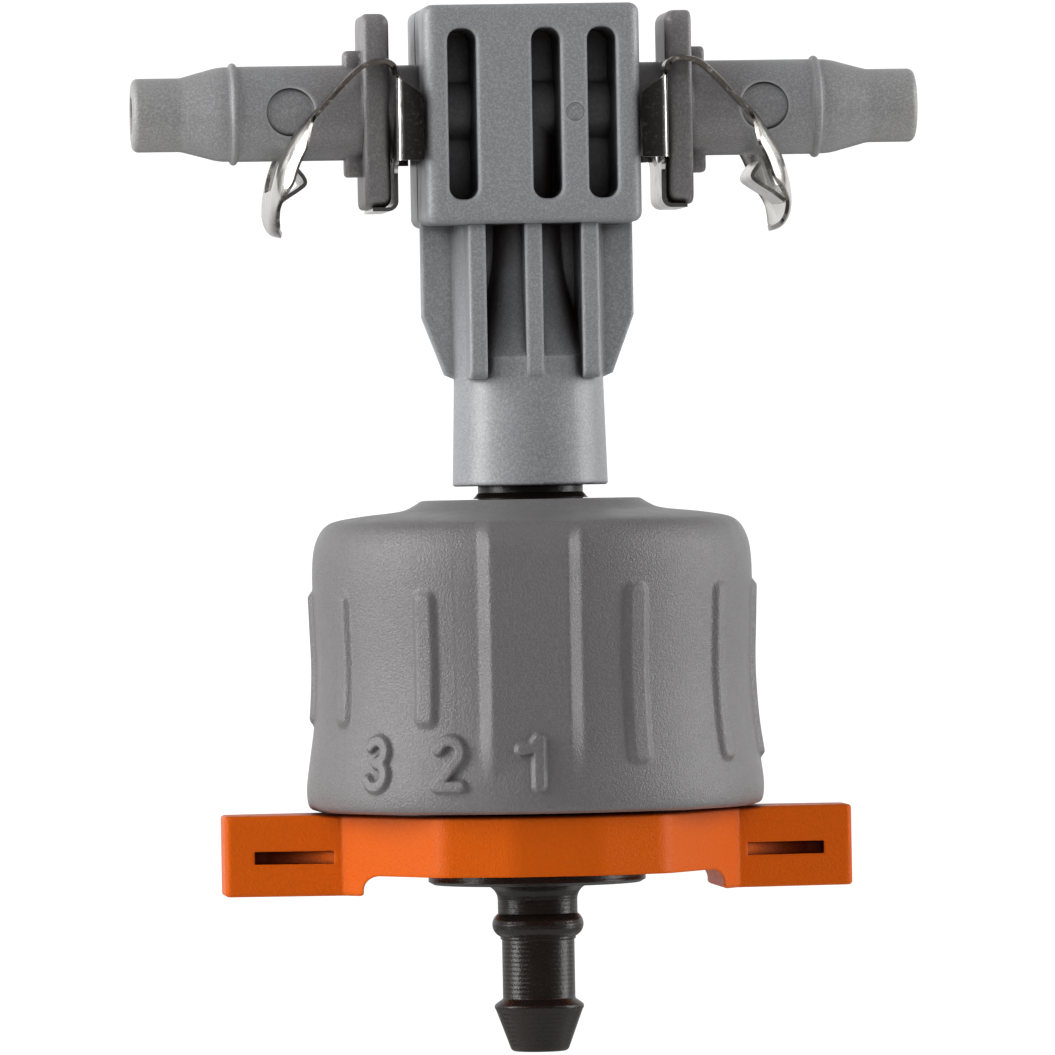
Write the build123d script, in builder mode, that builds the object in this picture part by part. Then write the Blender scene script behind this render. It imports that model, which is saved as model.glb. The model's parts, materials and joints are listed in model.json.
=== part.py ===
from build123d import *
import math
import os

# Adjustable drip emitter hanging from a hose tee with two spring hose clips.
# Millimetres, +Z up. The origin is the tip of the outlet barb, on the vertical axis.
# The hose line of the tee runs along X, and the tee's slotted faces look along -Y and +Y.

os.makedirs("parts", exist_ok=True)

# Heights of the main faces
FLANGE_BOTTOM = 11.1
RING_BOTTOM = 12.1
WING_BOTTOM = 10.73
RING_TOP = 16.1
HUB_TOP = 13.2
KNOB_BOTTOM = 16.25
KNOB_TOP = 36.8
SOCKET_BOTTOM = 37.7
RIB_BOTTOM = 44.8
SLOT_Z = 62.3
BLOCK_BOTTOM = 55.05
BLOCK_TOP = 69.55
PIPE_Z = 62.7

# Tee
BLOCK_HALF_X = 7.2
BLOCK_HALF_Y = 6.4
SLOT_WIDTH = 1.9
SLOT_HEIGHT = 11.3
SLOT_X = (-4.65, 0.93, 4.63)
WEB_HALF = 0.6
PIPE_CORE_R = 2.0
HOSE_BORE_R = 1.3
RISER_BORE_R = 1.1
SOCKET_R = 5.18
NECK_TUBE_R = 5.0
RIB_X = (-3.75, 0, 3.75)
RIB_FRONT = 5.3
RIB_THICK = 1.15
FIN_HALF_X = 7.08
STEM_FIT = 0.05
PLATE_INNER = 9.2
PLATE_OUTER = 10.95
PLATE_HALF_Y = 3.45
PLATE_HALF_Z = 6.45
NIPPLE_R = 3.17
NIPPLE_TIP_R = 2.45
NIPPLE_END = 26.2

# Stem and flow parts
STEM_R = 3.5
STEM_BORE_R = 1.3
HOUSING_R = 12.95
HOUSING_FOOT_R = 12.6
HOUSING_WALL_R = 11.4
HOUSING_SPLIT = 24.0
COVER_TOP = 29.0
FLOW_PORT_R = 9.0
DISC_BOTTOM = 29.85
DISC_TOP = 31.6

# Knob
KNOB_RIM_R = 15.2
KNOB_WAIST_R = 14.5
KNOB_SHOULDER_R = 14.65
KNOB_BORE_R = 13.05
KNOB_CEILING = 33.4
BOSS_R = 7.3
BAR_COUNT = 12
BAR_WIDTH = 1.5
BAR_REACH = 14.9
PANEL_REACH = 15.05
PANEL_HALF = 3.2
DIAL_ANGLE = -97.0
DIAL_PITCH = 22.5
DIAL_STEPS = 8
KNOB_TURN = 166.5
STOP_WIDTH_DEG = 8.0

# Clips
SHEET = 0.3
CLIP_HALF_Y = 6.4
WINDOW_HALF_Y = 3.8
TONGUE_HALF_Y = 3.1
LEG_X = 8.9
HINGE_Z = PIPE_Z + 2.3


def on_arc(radius, degrees, height=0.0):
    """A point at a radius and an angle about the vertical axis."""
    turn = math.radians(degrees)
    return Vector(radius * math.cos(turn), radius * math.sin(turn), height)


def radial_plane(radius, degrees, height):
    """A plane facing outward at an angle, with its own y along +Z."""
    outward = on_arc(1, degrees)
    tangent = on_arc(1, degrees + 90)
    return Plane(origin=on_arc(radius, degrees, height), x_dir=tangent, z_dir=outward)


def upright_edges(piece, distance):
    """The upright edges of a piece whose x is this far from the axis, on either side."""
    return piece.edges().filter_by(Axis.Z).filter_by(lambda edge: abs(abs(edge.center().X) - distance) < 0.01)


# ---------------------------------------------------------------- outlet nipple
SEAL_R = 2.5
SEAL_WIRE = 0.4
BARB_LIP_R = 2.98
BARB_SHAFT_R = 2.42
FLANGE_R = 7.25

with BuildPart() as outlet_nipple:
    with BuildSketch(Plane.XZ):
        with BuildLine():
            Polyline((1.2, HUB_TOP), (1.2, 0), (1.65, 0))
            ThreePointArc((1.65, 0), (1.85, 0.08), (1.97, 0.25))
            Line((1.97, 0.25), (2.91, 2.8))
            ThreePointArc((2.91, 2.8), (BARB_LIP_R, 3.05), (2.85, 3.22))
            Line((2.85, 3.22), (BARB_SHAFT_R + 0.15, 3.42))
            ThreePointArc((BARB_SHAFT_R + 0.15, 3.42), (BARB_SHAFT_R + 0.03, 3.52), (BARB_SHAFT_R, 3.7))
            Polyline((BARB_SHAFT_R, 3.7), (BARB_SHAFT_R, 7.45), (2.52, 7.5), (2.52, 7.66))
            ThreePointArc((2.52, 7.66), (3.05, 8.42), (2.66, 9.2))
            Line((2.66, 9.2), (2.66, 10.1))
            ThreePointArc((2.66, 10.1), (2.95, 10.81), (3.66, FLANGE_BOTTOM))
            Polyline((3.66, FLANGE_BOTTOM), (6.9, 11.2), (FLANGE_R, 11.4), (FLANGE_R, RING_BOTTOM))
            Polyline((FLANGE_R, RING_BOTTOM), (3.6, RING_BOTTOM), (3.6, HUB_TOP), (1.2, HUB_TOP))
        make_face()
    revolve(axis=Axis.Z)
    with BuildSketch(Plane.XY.offset(HUB_TOP)):
        Circle(SEAL_R + SEAL_WIRE)
        Circle(SEAL_R - SEAL_WIRE, mode=Mode.SUBTRACT)
    extrude(amount=-2 * SEAL_WIRE, mode=Mode.SUBTRACT)
outlet_nipple.part.label = "outlet_nipple"
export_step(outlet_nipple.part, "parts/outlet_nipple.step")

with BuildPart() as outlet_seal_ring:
    with BuildSketch(Plane.XZ):
        with Locations((SEAL_R, HUB_TOP - SEAL_WIRE)):
            Circle(SEAL_WIRE)
    revolve(axis=Axis.Z)
outlet_seal_ring.part.label = "outlet_seal_ring"
export_step(outlet_seal_ring.part, "parts/outlet_seal_ring.step")

# ---------------------------------------------------------------- wing ring
RING_FRONT = 13.6
WING_TIP = 20.95
WING_ROOT = 13.2
WING_STEP = 12.0
STUB_R = 5.2
POCKET_Z = 13.3
POCKET_HEIGHT = 0.85
FRONT_HALF = 2.8
FACET_X = 7.5
RING_OUTLINE = [
    (FRONT_HALF, -RING_FRONT),
    (FACET_X, -12.0),
    (WING_ROOT, -3.2),
    (WING_TIP, -2.1),
]

with BuildPart() as wing_ring:
    right_front = RING_OUTLINE
    right_back = [(x, -y) for x, y in reversed(RING_OUTLINE)]
    left_back = [(-x, -y) for x, y in RING_OUTLINE]
    left_front = [(-x, y) for x, y in reversed(RING_OUTLINE)]
    with BuildSketch(Plane.XY.offset(WING_BOTTOM)) as outline:
        Polygon(*(right_front + right_back + left_back + left_front), align=None)
    extrude(amount=RING_TOP - WING_BOTTOM)
    with BuildSketch(Plane.XZ):
        with BuildLine():
            step = RING_BOTTOM
            Polyline((0, WING_BOTTOM - 1), (WING_STEP, WING_BOTTOM - 1), (WING_STEP, step - 1))
            ThreePointArc((WING_STEP, step - 1), (WING_STEP - 0.29, step - 0.29), (WING_STEP - 1, step))
            Polyline((WING_STEP - 1, step), (0, step), (0, WING_BOTTOM - 1))
        make_face()
        mirror(about=Plane.YZ)
    extrude(amount=2 * RING_FRONT, both=True, mode=Mode.SUBTRACT)
    fillet(upright_edges(wing_ring, WING_TIP), radius=0.45)
    fillet(upright_edges(wing_ring, WING_ROOT), radius=0.3)
    fillet(upright_edges(wing_ring, FACET_X), radius=2.0)
    fillet(upright_edges(wing_ring, FRONT_HALF), radius=3.0)
    fillet(wing_ring.faces().sort_by(Axis.Z)[-1].edges(), radius=0.25)
    fillet(wing_ring.faces().filter_by(Axis.Z).group_by(Axis.Z)[0].edges(), radius=0.25)
    with BuildSketch(Plane.XY.offset(POCKET_Z - POCKET_HEIGHT / 2)):
        with BuildLine():
            Polyline((13.8, -4), (19.0, -4), (19.0, -0.9), (18.1, -0.9), (13.8, -2.95), (13.8, -4))
        make_face()
        mirror(about=Plane.YZ)
        mirror(about=Plane.XZ)
    extrude(amount=POCKET_HEIGHT, mode=Mode.SUBTRACT)
    with BuildSketch(Plane.XY.offset(RING_BOTTOM)):
        Circle(3.6)
    extrude(amount=RING_TOP - RING_BOTTOM, mode=Mode.SUBTRACT)
    with BuildSketch(Plane.XY.offset(HUB_TOP)):
        Circle(STUB_R)
    extrude(amount=RING_TOP - HUB_TOP, mode=Mode.SUBTRACT)
wing_ring.part.label = "wing_ring"
export_step(wing_ring.part, "parts/wing_ring.step")

# ---------------------------------------------------------------- lower housing
CUP_FLOOR = 17.8
SHOULDER_Z = 18.2
HOUSING_SEAL_R = 12.15
HOUSING_SEAL_WIRE = 0.3

with BuildPart() as lower_housing:
    with BuildSketch(Plane.XZ):
        with BuildLine():
            Polyline((1.6, HUB_TOP), (STUB_R, HUB_TOP), (STUB_R, RING_TOP), (HOUSING_FOOT_R, RING_TOP))
            Polyline((HOUSING_FOOT_R, RING_TOP), (HOUSING_FOOT_R, SHOULDER_Z), (HOUSING_R, SHOULDER_Z))
            Polyline((HOUSING_R, SHOULDER_Z), (HOUSING_R, HOUSING_SPLIT), (HOUSING_WALL_R, HOUSING_SPLIT))
            Polyline((HOUSING_WALL_R, HOUSING_SPLIT), (HOUSING_WALL_R, CUP_FLOOR), (1.6, CUP_FLOOR))
            Line((1.6, CUP_FLOOR), (1.6, HUB_TOP))
        make_face()
    revolve(axis=Axis.Z)
    with BuildSketch(Plane.XY.offset(HOUSING_SPLIT)):
        Circle(HOUSING_SEAL_R + HOUSING_SEAL_WIRE)
        Circle(HOUSING_SEAL_R - HOUSING_SEAL_WIRE, mode=Mode.SUBTRACT)
    extrude(amount=-2 * HOUSING_SEAL_WIRE, mode=Mode.SUBTRACT)
lower_housing.part.label = "lower_housing"
export_step(lower_housing.part, "parts/lower_housing.step")

with BuildPart() as housing_seal_ring:
    with BuildSketch(Plane.XZ):
        with Locations((HOUSING_SEAL_R, HOUSING_SPLIT - HOUSING_SEAL_WIRE)):
            Circle(HOUSING_SEAL_WIRE)
    revolve(axis=Axis.Z)
housing_seal_ring.part.label = "housing_seal_ring"
export_step(housing_seal_ring.part, "parts/housing_seal_ring.step")

# ---------------------------------------------------------------- flow stack in the cup
STACK_R = 11.3
SEAT_TOP = 19.6
DIAPHRAGM_TOP = 20.4
LABYRINTH_TOP = 23.2
TOOTH_COUNT = 24

with BuildPart() as diaphragm_seat:
    with BuildSketch(Plane.XZ):
        with BuildLine():
            Polyline((0.8, CUP_FLOOR), (STACK_R, CUP_FLOOR), (STACK_R, SEAT_TOP), (8.5, SEAT_TOP))
            ThreePointArc((8.5, SEAT_TOP), (5.2, SEAT_TOP - 0.7), (1.9, SEAT_TOP - 0.1))
            Polyline((1.9, SEAT_TOP - 0.1), (0.8, SEAT_TOP - 0.1), (0.8, CUP_FLOOR))
        make_face()
    revolve(axis=Axis.Z)
diaphragm_seat.part.label = "diaphragm_seat"
export_step(diaphragm_seat.part, "parts/diaphragm_seat.step")

with BuildPart() as diaphragm:
    with BuildSketch(Plane.XZ):
        with BuildLine():
            Polyline((0, SEAT_TOP), (STACK_R, SEAT_TOP), (STACK_R, DIAPHRAGM_TOP), (8.7, DIAPHRAGM_TOP))
            ThreePointArc((8.7, DIAPHRAGM_TOP), (5.5, SEAT_TOP + 0.4), (2.3, DIAPHRAGM_TOP))
            Polyline((2.3, DIAPHRAGM_TOP), (0, DIAPHRAGM_TOP), (0, SEAT_TOP))
        make_face()
    revolve(axis=Axis.Z)
diaphragm.part.label = "diaphragm"
export_step(diaphragm.part, "parts/diaphragm.step")

with BuildPart() as labyrinth_plate:
    with BuildSketch(Plane.XY.offset(DIAPHRAGM_TOP)):
        Circle(STACK_R)
    extrude(amount=LABYRINTH_TOP - DIAPHRAGM_TOP)
    # A ring channel, narrowed by teeth that reach in from both walls in turn.
    with BuildSketch(Plane.XY.offset(LABYRINTH_TOP)):
        Circle(9.6)
        Circle(6.4, mode=Mode.SUBTRACT)
        with PolarLocations(9.0, TOOTH_COUNT // 2, start_angle=15):
            Rectangle(2.2, 0.9, mode=Mode.SUBTRACT)
        with PolarLocations(7.0, TOOTH_COUNT // 2):
            Rectangle(2.2, 0.9, mode=Mode.SUBTRACT)
    extrude(amount=-1.2, mode=Mode.SUBTRACT)
    with Locations((3.5, 0, LABYRINTH_TOP)):
        Hole(radius=0.7)
labyrinth_plate.part.label = "labyrinth_plate"
export_step(labyrinth_plate.part, "parts/labyrinth_plate.step")

# ---------------------------------------------------------------- upper housing
COVER_PLATE = 27.4
STOP_FLOOR_R = 12.3
STOP_SLACK_DEG = 1.0
STOP_ANGLE = 10.0
HUB_BORE_R = 3.0


def sector(inner, outer, start, sweep):
    """The flat face of a ring sector, from a start angle over a sweep."""
    with BuildSketch(mode=Mode.PRIVATE) as face:
        with BuildLine():
            CenterArc((0, 0), outer, start, sweep)
            CenterArc((0, 0), inner, start, sweep)
            Line(on_arc(inner, start), on_arc(outer, start))
            Line(on_arc(inner, start + sweep), on_arc(outer, start + sweep))
        make_face()
    return face.sketch


recess_start = STOP_ANGLE - STOP_WIDTH_DEG / 2 - STOP_SLACK_DEG
recess_sweep = KNOB_TURN + STOP_WIDTH_DEG + 2 * STOP_SLACK_DEG

with BuildPart() as upper_housing:
    with BuildSketch(Plane.XZ):
        with BuildLine():
            Polyline((HUB_BORE_R, 25.2), (4.6, 25.2), (4.6, COVER_PLATE), (HOUSING_WALL_R, COVER_PLATE))
            Polyline((HOUSING_WALL_R, COVER_PLATE), (HOUSING_WALL_R, HOUSING_SPLIT), (HOUSING_R, HOUSING_SPLIT))
            Polyline((HOUSING_R, HOUSING_SPLIT), (HOUSING_R, COVER_TOP), (HUB_BORE_R, COVER_TOP))
            Line((HUB_BORE_R, COVER_TOP), (HUB_BORE_R, 25.2))
        make_face()
    revolve(axis=Axis.Z)
    with BuildSketch(Plane.XY.offset(HOUSING_SPLIT + 0.3)):
        add(sector(STOP_FLOOR_R, HOUSING_R + 1, recess_start, recess_sweep))
    extrude(amount=COVER_TOP - HOUSING_SPLIT, mode=Mode.SUBTRACT)
    with Locations((FLOW_PORT_R, 0, COVER_TOP)):
        Hole(radius=0.9)
upper_housing.part.label = "upper_housing"
export_step(upper_housing.part, "parts/upper_housing.step")

# ---------------------------------------------------------------- inlet stem
STEM_TOP = 47.0
STEM_GROOVE_Z = 42.8
STEM_SEAL_WIRE = 0.4
STEM_GROOVE_R = 2.7
SNAP_Z = 45.5
SNAP_R = 3.75

with BuildPart() as inlet_stem:
    groove_low = STEM_GROOVE_Z - STEM_SEAL_WIRE - 0.1
    groove_high = STEM_GROOVE_Z + STEM_SEAL_WIRE + 0.1
    with BuildSketch(Plane.XZ):
        with BuildLine():
            Polyline((0, 25.5), (HUB_BORE_R, 25.5), (HUB_BORE_R, COVER_TOP), (6.0, COVER_TOP))
            Polyline((6.0, COVER_TOP), (6.0, 30.0), (STEM_R, 30.0), (STEM_R, KNOB_TOP + 0.05))
            Polyline((STEM_R, KNOB_TOP + 0.05), (STEM_R + 0.35, KNOB_TOP + 0.05), (STEM_R, KNOB_TOP + 0.45))
            Polyline((STEM_R, KNOB_TOP + 0.45), (STEM_R, groove_low), (STEM_GROOVE_R, groove_low))
            Polyline((STEM_GROOVE_R, groove_low), (STEM_GROOVE_R, groove_high), (STEM_R, groove_high))
            Polyline((STEM_R, groove_high), (STEM_R, SNAP_Z - 0.3), (SNAP_R, SNAP_Z - 0.1))
            Polyline((SNAP_R, SNAP_Z - 0.1), (SNAP_R, SNAP_Z + 0.1), (3.3, SNAP_Z + 0.6), (2.8, STEM_TOP))
            Polyline((2.8, STEM_TOP), (STEM_BORE_R, STEM_TOP), (STEM_BORE_R, 30.4), (0, 30.4), (0, 25.5))
        make_face()
    revolve(axis=Axis.Z)
    with BuildSketch(Plane.YZ):
        with Locations((0, 32.4)):
            Circle(0.8)
    extrude(amount=STEM_R + 1, both=True, mode=Mode.SUBTRACT)
inlet_stem.part.label = "inlet_stem"
export_step(inlet_stem.part, "parts/inlet_stem.step")

with BuildPart() as stem_seal_ring:
    with BuildSketch(Plane.XZ):
        with Locations((STEM_GROOVE_R + STEM_SEAL_WIRE, STEM_GROOVE_Z)):
            Circle(STEM_SEAL_WIRE)
    revolve(axis=Axis.Z)
stem_seal_ring.part.label = "stem_seal_ring"
export_step(stem_seal_ring.part, "parts/stem_seal_ring.step")

# ---------------------------------------------------------------- metering parts
DISC_INNER_R = 6.4
DISC_OUTER_R = 12.2
LUG_REACH = 13.4
LUG_WIDTH = 2.4
SPRING_OUTER_R = 11.5
SPRING_INNER_R = 7.0
SPRING_SHEET = 0.35

with BuildPart() as metering_gasket:
    with BuildSketch(Plane.XY.offset(COVER_TOP)):
        Circle(12.0)
        Circle(6.2, mode=Mode.SUBTRACT)
        with Locations((FLOW_PORT_R, 0)):
            Circle(1.0, mode=Mode.SUBTRACT)
    extrude(amount=0.8)
metering_gasket.part.label = "metering_gasket"
export_step(metering_gasket.part, "parts/metering_gasket.step")

with BuildPart() as metering_disc:
    with BuildSketch(Plane.XY.offset(DISC_BOTTOM)):
        Circle(DISC_OUTER_R)
        with PolarLocations(0, 2):
            with Locations((LUG_REACH / 2, 0)):
                Rectangle(LUG_REACH, LUG_WIDTH)
        Circle(DISC_INNER_R, mode=Mode.SUBTRACT)
    extrude(amount=DISC_TOP - DISC_BOTTOM)
    # One groove in eight steps, each deeper than the last: the flow settings.
    for index in range(DIAL_STEPS):
        with BuildSketch(Plane.XY.offset(DISC_BOTTOM)):
            add(sector(FLOW_PORT_R - 0.7, FLOW_PORT_R + 0.7, -DIAL_PITCH * (index + 0.8), DIAL_PITCH))
        extrude(amount=0.15 + 0.1 * index, mode=Mode.SUBTRACT)
metering_disc.part.label = "metering_disc"
export_step(metering_disc.part, "parts/metering_disc.step")

with BuildPart() as disc_spring:
    with BuildSketch(Plane.XZ):
        with BuildLine():
            Polyline((SPRING_OUTER_R, DISC_TOP), (SPRING_OUTER_R, DISC_TOP + SPRING_SHEET),
                     (SPRING_INNER_R, KNOB_CEILING), (SPRING_INNER_R, KNOB_CEILING - SPRING_SHEET),
                     close=True)
        make_face()
    revolve(axis=Axis.Z)
disc_spring.part.label = "disc_spring"
export_step(disc_spring.part, "parts/disc_spring.step")

# ---------------------------------------------------------------- knob
KNOB_SEAL_WIRE = 0.55
KNOB_SEAL_Z = 35.0
RETAINER_BOTTOM = 17.1
RETAINER_TOP = 18.1
RETAINER_GROOVE_R = 13.9
STOP_REACH = 12.4

with BuildPart() as regulator_knob:
    seal_low = KNOB_SEAL_Z - KNOB_SEAL_WIRE
    seal_high = KNOB_SEAL_Z + KNOB_SEAL_WIRE
    bore = STEM_R + STEM_FIT
    seal_wall = bore + 2 * KNOB_SEAL_WIRE
    with BuildSketch(Plane.XZ):
        with BuildLine():
            Line((KNOB_BORE_R, KNOB_BOTTOM), (14.5, KNOB_BOTTOM))
            ThreePointArc((14.5, KNOB_BOTTOM), (14.98, 16.44), (KNOB_RIM_R, 16.9))
            Spline((KNOB_RIM_R, 16.9), (15.0, 19.5), (KNOB_WAIST_R, 24.5), (KNOB_SHOULDER_R, 31.8),
                   tangents=((0, 1), (0, 1)))
            Line((KNOB_SHOULDER_R, 31.8), (14.5, 33.4))
            ThreePointArc((14.5, 33.4), (14.05, 34.9), (13.0, 35.55))
            Polyline((13.0, 35.55), (8.5, 36.1), (BOSS_R, KNOB_TOP), (bore, KNOB_TOP), (bore, seal_high))
            Polyline((bore, seal_high), (seal_wall, seal_high), (seal_wall, seal_low), (bore, seal_low))
            Polyline((bore, seal_low), (bore, KNOB_CEILING), (KNOB_BORE_R, KNOB_CEILING))
            Line((KNOB_BORE_R, KNOB_CEILING), (KNOB_BORE_R, KNOB_BOTTOM))
        make_face()
    revolve(axis=Axis.Z)
    # Flat panel at the first digit
    panel_middle = 26.2
    with BuildSketch(radial_plane(KNOB_BORE_R + 0.6, DIAL_ANGLE, panel_middle)):
        RectangleRounded(2 * PANEL_HALF, 16.6, 0.8)
    extrude(amount=PANEL_REACH - KNOB_BORE_R - 0.6, taper=12)
    # Grip bars: short above the digits, long where there are none
    for index in range(1, BAR_COUNT):
        angle = DIAL_ANGLE - 30 * index
        numbered = index * 30 < DIAL_PITCH * (DIAL_STEPS - 1)
        length = 8.7 if numbered else 12.2
        middle = 26.3 if numbered else 25.1
        with BuildSketch(radial_plane(KNOB_BORE_R + 0.6, angle, middle)):
            SlotOverall(length, BAR_WIDTH, rotation=90)
        extrude(amount=BAR_REACH - KNOB_BORE_R - 0.6)
    # Groove of the retaining ring, keyways of the metering disc, and the stop
    with BuildSketch(Plane.XY.offset(RETAINER_BOTTOM)):
        Circle(RETAINER_GROOVE_R)
    extrude(amount=RETAINER_TOP - RETAINER_BOTTOM, mode=Mode.SUBTRACT)
    with BuildSketch(Plane.XY.offset(KNOB_BOTTOM)):
        with PolarLocations(0, 2):
            with Locations((LUG_REACH / 2, 0)):
                Rectangle(LUG_REACH + 0.1, LUG_WIDTH + 0.1)
    extrude(amount=DISC_TOP + 0.1 - KNOB_BOTTOM, mode=Mode.SUBTRACT)
    with BuildSketch(Plane.XY.offset(HOUSING_SPLIT + 0.6)):
        add(sector(STOP_REACH, KNOB_BORE_R + 0.3, STOP_ANGLE - STOP_WIDTH_DEG / 2, STOP_WIDTH_DEG))
    extrude(amount=3.4)
regulator_knob.part.label = "regulator_knob"
export_step(regulator_knob.part, "parts/regulator_knob.step")

with BuildPart() as knob_seal_ring:
    with BuildSketch(Plane.XZ):
        with Locations((STEM_R + STEM_FIT + KNOB_SEAL_WIRE, KNOB_SEAL_Z)):
            Circle(KNOB_SEAL_WIRE)
    revolve(axis=Axis.Z)
knob_seal_ring.part.label = "knob_seal_ring"
export_step(knob_seal_ring.part, "parts/knob_seal_ring.step")

with BuildPart() as retaining_ring:
    with BuildSketch(Plane.XY.offset(RETAINER_BOTTOM)):
        add(sector(HOUSING_FOOT_R + 0.1, RETAINER_GROOVE_R - 0.1, 100, 340))
    extrude(amount=RETAINER_TOP - RETAINER_BOTTOM)
retaining_ring.part.label = "retaining_ring"
export_step(retaining_ring.part, "parts/retaining_ring.step")

# ---------------------------------------------------------------- tee
SNAP_GROOVE_R = 3.87
SNAP_GROOVE_HALF = 0.6
POCKET_OUTER_X = 3.12
POCKET_BOTTOM = 46.2
CORE_TOP_R = 2.3
PART_LINE_DEPTH = 0.25
MARK_X = 15.8
MARK_DEPTH = 0.22
SOFT_EDGE = 0.15

# One rib, lying across the neck from front to back
with BuildPart() as neck_rib:
    with BuildSketch(Plane.YZ.offset(-RIB_THICK / 2)):
        with Locations((0, (RIB_BOTTOM + BLOCK_BOTTOM + 1) / 2)):
            RectangleRounded(2 * RIB_FRONT, BLOCK_BOTTOM + 1 - RIB_BOTTOM, 0.6)
    extrude(amount=RIB_THICK)
    fillet(neck_rib.faces().filter_by(Axis.X).edges(), radius=SOFT_EDGE)

# The hollows between the ribs: a block on each side of the neck, less the flared riser core
with BuildPart() as neck_pockets:
    with BuildSketch(Plane.XZ):
        Polygon((-POCKET_OUTER_X, POCKET_BOTTOM + 0.05), (POCKET_OUTER_X, POCKET_BOTTOM + 0.05),
                (POCKET_OUTER_X, BLOCK_BOTTOM), (-POCKET_OUTER_X, BLOCK_BOTTOM), align=None)
    extrude(amount=NECK_TUBE_R + 1, both=True)
    with BuildSketch(Plane.XZ):
        with BuildLine():
            Line((0, BLOCK_BOTTOM + 1), (CORE_TOP_R, BLOCK_BOTTOM + 1))
            Spline((CORE_TOP_R, BLOCK_BOTTOM + 1), (2.75, 50.7), (NECK_TUBE_R, POCKET_BOTTOM),
                   tangents=((0, -1), (1, -1)))
            Polyline((NECK_TUBE_R, POCKET_BOTTOM), (0, POCKET_BOTTOM), (0, BLOCK_BOTTOM + 1))
        make_face()
    revolve(axis=Axis.Z, mode=Mode.SUBTRACT)

# The pair of side fins
with BuildPart() as side_fins:
    with BuildSketch(Plane.XZ):
        with BuildLine():
            Polyline((0, BLOCK_BOTTOM + 1), (FIN_HALF_X, BLOCK_BOTTOM + 1), (FIN_HALF_X, 49.0),
                     (5.62, 45.15), (4.7, 44.75), (0, 44.75), (0, BLOCK_BOTTOM + 1))
        make_face()
        mirror(about=Plane.YZ)
    extrude(amount=0.6, both=True)
    fillet(side_fins.faces().filter_by(Axis.Y).edges(), radius=SOFT_EDGE)

# The right-hand locking plate with its lug
with BuildPart() as locking_plate:
    with BuildSketch(Plane.YZ.offset(PLATE_INNER)):
        with Locations((0, PIPE_Z)):
            RectangleRounded(2 * PLATE_HALF_Y, 2 * PLATE_HALF_Z, 0.9)
    extrude(amount=PLATE_OUTER - PLATE_INNER)
    fillet(locking_plate.faces().sort_by(Axis.X)[0].edges(), radius=0.65)
    fillet(locking_plate.faces().sort_by(Axis.X)[-1].edges(), radius=0.3)
    with BuildSketch(Plane.YZ.offset(PLATE_OUTER)):
        with Locations((0, PIPE_Z - 0.1)):
            RectangleRounded(2.2, 8.4, 0.5)
    extrude(amount=1.1)
    fillet(locking_plate.faces().filter_by(Axis.X).sort_by(Axis.X)[-1].edges(), radius=0.25)

# The space of the two round marks, which keep the roundness of the hose line
with BuildPart() as nipple_marks:
    with BuildSketch(Plane.XZ):
        with Locations((-MARK_X, PIPE_Z), (MARK_X, PIPE_Z)):
            Circle(1.6)
    extrude(amount=NIPPLE_R + 1)
    with BuildSketch(Plane.YZ):
        with Locations((0, PIPE_Z)):
            Circle(NIPPLE_R - MARK_DEPTH)
    extrude(amount=NIPPLE_END, both=True, mode=Mode.SUBTRACT)

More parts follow.
